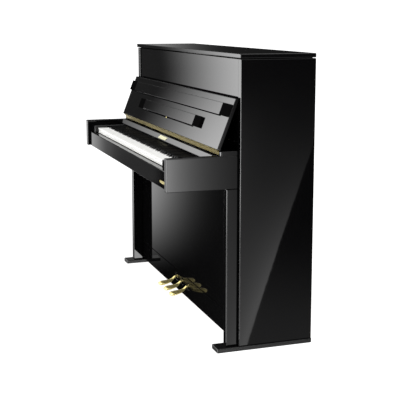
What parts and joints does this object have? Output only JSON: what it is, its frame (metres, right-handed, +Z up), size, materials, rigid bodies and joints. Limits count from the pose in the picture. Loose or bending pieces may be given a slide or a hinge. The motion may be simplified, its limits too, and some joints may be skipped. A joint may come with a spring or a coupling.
{
  "type": "upright piano",
  "caption": "Upright piano in black gloss lacquer, with an open fallboard that carries a folding music ledge, brass pedals, flat feet and a hinged lid.",
  "frame": {"origin": "on the floor, in the middle of the box that holds the whole piano at rest", "axes": "+X to the player's right along the keyboard, +Y from the player towards the back, +Z up"},
  "size_m": [1.52, 0.61, 1.178],
  "materials": {
    "black_lacquer": "high-gloss black polyester lacquer over wood",
    "black_felt": "dense black felt facing",
    "brass": "polished yellow brass",
    "key_white": "satin white key tops on light wooden sticks",
    "key_black": "satin black key tops",
    "case_wood": "plain unfinished hardwood",
    "back_wood": "varnished softwood posts and beams",
    "spruce": "clear-varnished spruce with diagonal grain",
    "beech": "laminated beech",
    "cast_plate": "gold-bronzed cast iron",
    "steel": "drawn steel",
    "action_metal": "cast brackets with a hardwood rail",
    "hammer_felt": "white pressed felt",
    "damper_felt": "soft white felt",
    "rubber": "black rubber"
  },
  "bodies": {
    "case": {"side_panel_left": "black_lacquer", "side_panel_right": "black_lacquer", "leg_left": "black_lacquer", "leg_right": "black_lacquer", "arm_left": "black_lacquer", "arm_right": "black_lacquer", "key_block_left": "black_lacquer", "key_block_right": "black_lacquer", "feet": "black_lacquer", "key_slip": "black_lacquer", "nameboard": "black_lacquer", "hinge_shelf": "black_lacquer", "upper_panel": "black_lacquer", "lower_panel": "black_lacquer", "toe_rail": "black_lacquer", "fallboard_hinge": "brass", "lid_hinges": "brass", "keybed": "case_wood", "bottom_board": "case_wood", "key_frame": "case_wood", "back_frame": "back_wood", "soundboard": "spruce", "pin_block": "beech", "iron_plate": "cast_plate", "tuning_pins": "steel", "strings": "steel", "pedal_brackets": "steel", "action_frame": "action_metal", "rubber_buttons": "rubber"},
    "lid": {"lid": "black_lacquer", "lid_hinge_leaves": "brass"},
    "fallboard": {"fallboard": "black_lacquer", "fallboard_strip": "black_lacquer", "strip_pads": "black_felt", "ledge_blocks": "black_felt", "fallboard_hinge_leaf": "brass"},
    "ledge": {"music_ledge": "black_lacquer"},
    "pedal_left": {"pedal_left": "brass"},
    "pedal_middle": {"pedal_middle": "brass"},
    "pedal_right": {"pedal_right": "brass"},
    "rod_left": {"pedal_rod_left": "case_wood"},
    "rod_middle": {"pedal_rod_middle": "case_wood"},
    "rod_right": {"pedal_rod_right": "case_wood"},
    "hammers": {"hammers": "hammer_felt"},
    "dampers": {"dampers": "damper_felt"},
    "muffler": {"muffler_rail": "damper_felt"},
    "white_keys": {"white_keys": "key_white"},
    "black_keys": {"black_keys": "key_black"},
    "key_c4": {"key_c4": "key_white"},
    "key_d4": {"key_d4": "key_white"},
    "key_e4": {"key_e4": "key_white"},
    "key_f4": {"key_f4": "key_white"},
    "key_g4": {"key_g4": "key_white"},
    "key_a4": {"key_a4": "key_white"},
    "key_b4": {"key_b4": "key_white"},
    "key_c4_sharp": {"key_c4_sharp": "key_black"},
    "key_d4_sharp": {"key_d4_sharp": "key_black"},
    "key_f4_sharp": {"key_f4_sharp": "key_black"},
    "key_g4_sharp": {"key_g4_sharp": "key_black"},
    "key_a4_sharp": {"key_a4_sharp": "key_black"}
  },
  "joints": [
    {"name": "lid_open", "type": "hinge", "parent": "case", "child": "lid", "pos_m": [0, 0.3026, 1.1595], "axis": [-1, 0, 0], "range_deg": [0, 95]},
    {"name": "fallboard_close", "type": "hinge", "parent": "case", "child": "fallboard", "pos_m": [0, -0.094, 0.8065], "axis": [1, 0, 0], "range_deg": [0, 111.2]},
    {"name": "ledge_unfold", "type": "hinge", "parent": "fallboard", "child": "ledge", "pos_m": [0, -0.08568, 0.87192], "axis": [-1, 0, 0], "range_deg": [-90, 0]},
    {"name": "pedal_left_press", "type": "hinge", "parent": "case", "child": "pedal_left", "pos_m": [-0.09, 0.06, 0.084], "axis": [1, 0, 0], "range_deg": [0, 5.2], "stiffness_Nm_per_rad": 8, "springref_deg": -14.32},
    {"name": "pedal_middle_press", "type": "hinge", "parent": "case", "child": "pedal_middle", "pos_m": [0, 0.06, 0.084], "axis": [1, 0, 0], "range_deg": [0, 5.2], "stiffness_Nm_per_rad": 8, "springref_deg": -14.32},
    {"name": "pedal_right_press", "type": "hinge", "parent": "case", "child": "pedal_right", "pos_m": [0.09, 0.06, 0.084], "axis": [1, 0, 0], "range_deg": [0, 5.2], "stiffness_Nm_per_rad": 8, "springref_deg": -14.32},
    {"name": "rod_left_lift", "type": "slide", "parent": "case", "child": "rod_left", "axis": [0, 0, 1], "range_m": [0, 0.009]},
    {"name": "rod_middle_lift", "type": "slide", "parent": "case", "child": "rod_middle", "axis": [0, 0, 1], "range_m": [0, 0.009]},
    {"name": "rod_right_lift", "type": "slide", "parent": "case", "child": "rod_right", "axis": [0, 0, 1], "range_m": [0, 0.009]},
    {"name": "hammer_rail_shift", "type": "hinge", "parent": "case", "child": "hammers", "pos_m": [0, 0.118, 0.858], "axis": [-1, 0, 0], "range_deg": [0, 10]},
    {"name": "damper_lift", "type": "hinge", "parent": "case", "child": "dampers", "pos_m": [0, 0.15, 0.85], "axis": [1, 0, 0], "range_deg": [0, 4]},
    {"name": "muffler_drop", "type": "slide", "parent": "case", "child": "muffler", "axis": [0, 0, -1], "range_m": [0, 0.03]},
    {"name": "key_c4_press", "type": "hinge", "parent": "case", "child": "key_c4", "pos_m": [0, -0.055, 0.7305], "axis": [1, 0, 0], "range_deg": [0, 2.6], "stiffness_Nm_per_rad": 1, "springref_deg": -9.17},
    {"name": "key_d4_press", "type": "hinge", "parent": "case", "child": "key_d4", "pos_m": [0, -0.055, 0.7305], "axis": [1, 0, 0], "range_deg": [0, 2.6], "stiffness_Nm_per_rad": 1, "springref_deg": -9.17},
    {"name": "key_e4_press", "type": "hinge", "parent": "case", "child": "key_e4", "pos_m": [0, -0.055, 0.7305], "axis": [1, 0, 0], "range_deg": [0, 2.6], "stiffness_Nm_per_rad": 1, "springref_deg": -9.17},
    {"name": "key_f4_press", "type": "hinge", "parent": "case", "child": "key_f4", "pos_m": [0, -0.055, 0.7305], "axis": [1, 0, 0], "range_deg": [0, 2.6], "stiffness_Nm_per_rad": 1, "springref_deg": -9.17},
    {"name": "key_g4_press", "type": "hinge", "parent": "case", "child": "key_g4", "pos_m": [0, -0.055, 0.7305], "axis": [1, 0, 0], "range_deg": [0, 2.6], "stiffness_Nm_per_rad": 1, "springref_deg": -9.17},
    {"name": "key_a4_press", "type": "hinge", "parent": "case", "child": "key_a4", "pos_m": [0, -0.055, 0.7305], "axis": [1, 0, 0], "range_deg": [0, 2.6], "stiffness_Nm_per_rad": 1, "springref_deg": -9.17},
    {"name": "key_b4_press", "type": "hinge", "parent": "case", "child": "key_b4", "pos_m": [0, -0.055, 0.7305], "axis": [1, 0, 0], "range_deg": [0, 2.6], "stiffness_Nm_per_rad": 1, "springref_deg": -9.17},
    {"name": "key_c4_sharp_press", "type": "hinge", "parent": "case", "child": "key_c4_sharp", "pos_m": [0, -0.055, 0.7305], "axis": [1, 0, 0], "range_deg": [0, 2.6], "stiffness_Nm_per_rad": 1, "springref_deg": -9.17},
    {"name": "key_d4_sharp_press", "type": "hinge", "parent": "case", "child": "key_d4_sharp", "pos_m": [0, -0.055, 0.7305], "axis": [1, 0, 0], "range_deg": [0, 2.6], "stiffness_Nm_per_rad": 1, "springref_deg": -9.17},
    {"name": "key_f4_sharp_press", "type": "hinge", "parent": "case", "child": "key_f4_sharp", "pos_m": [0, -0.055, 0.7305], "axis": [1, 0, 0], "range_deg": [0, 2.6], "stiffness_Nm_per_rad": 1, "springref_deg": -9.17},
    {"name": "key_g4_sharp_press", "type": "hinge", "parent": "case", "child": "key_g4_sharp", "pos_m": [0, -0.055, 0.7305], "axis": [1, 0, 0], "range_deg": [0, 2.6], "stiffness_Nm_per_rad": 1, "springref_deg": -9.17},
    {"name": "key_a4_sharp_press", "type": "hinge", "parent": "case", "child": "key_a4_sharp", "pos_m": [0, -0.055, 0.7305], "axis": [1, 0, 0], "range_deg": [0, 2.6], "stiffness_Nm_per_rad": 1, "springref_deg": -9.17},
    {"name": "white_keys_press", "type": "hinge", "parent": "case", "child": "white_keys", "pos_m": [0, -0.055, 0.7305], "axis": [1, 0, 0], "range_deg": [0, 2.6], "stiffness_Nm_per_rad": 45, "springref_deg": -9.17},
    {"name": "black_keys_press", "type": "hinge", "parent": "case", "child": "black_keys", "pos_m": [0, -0.055, 0.7305], "axis": [1, 0, 0], "range_deg": [0, 2.6], "stiffness_Nm_per_rad": 31, "springref_deg": -9.17}
  ],
  "couplings": [
    {"joint": "rod_left_lift", "follows": "pedal_left_press", "m_per_rad": 0.088},
    {"joint": "rod_middle_lift", "follows": "pedal_middle_press", "m_per_rad": 0.088},
    {"joint": "rod_right_lift", "follows": "pedal_right_press", "m_per_rad": 0.088},
    {"joint": "hammer_rail_shift", "follows": "pedal_left_press", "ratio": 1.8462},
    {"joint": "damper_lift", "follows": "pedal_right_press", "ratio": 0.6923},
    {"joint": "muffler_drop", "follows": "pedal_middle_press", "m_per_rad": 0.3195}
  ]
}
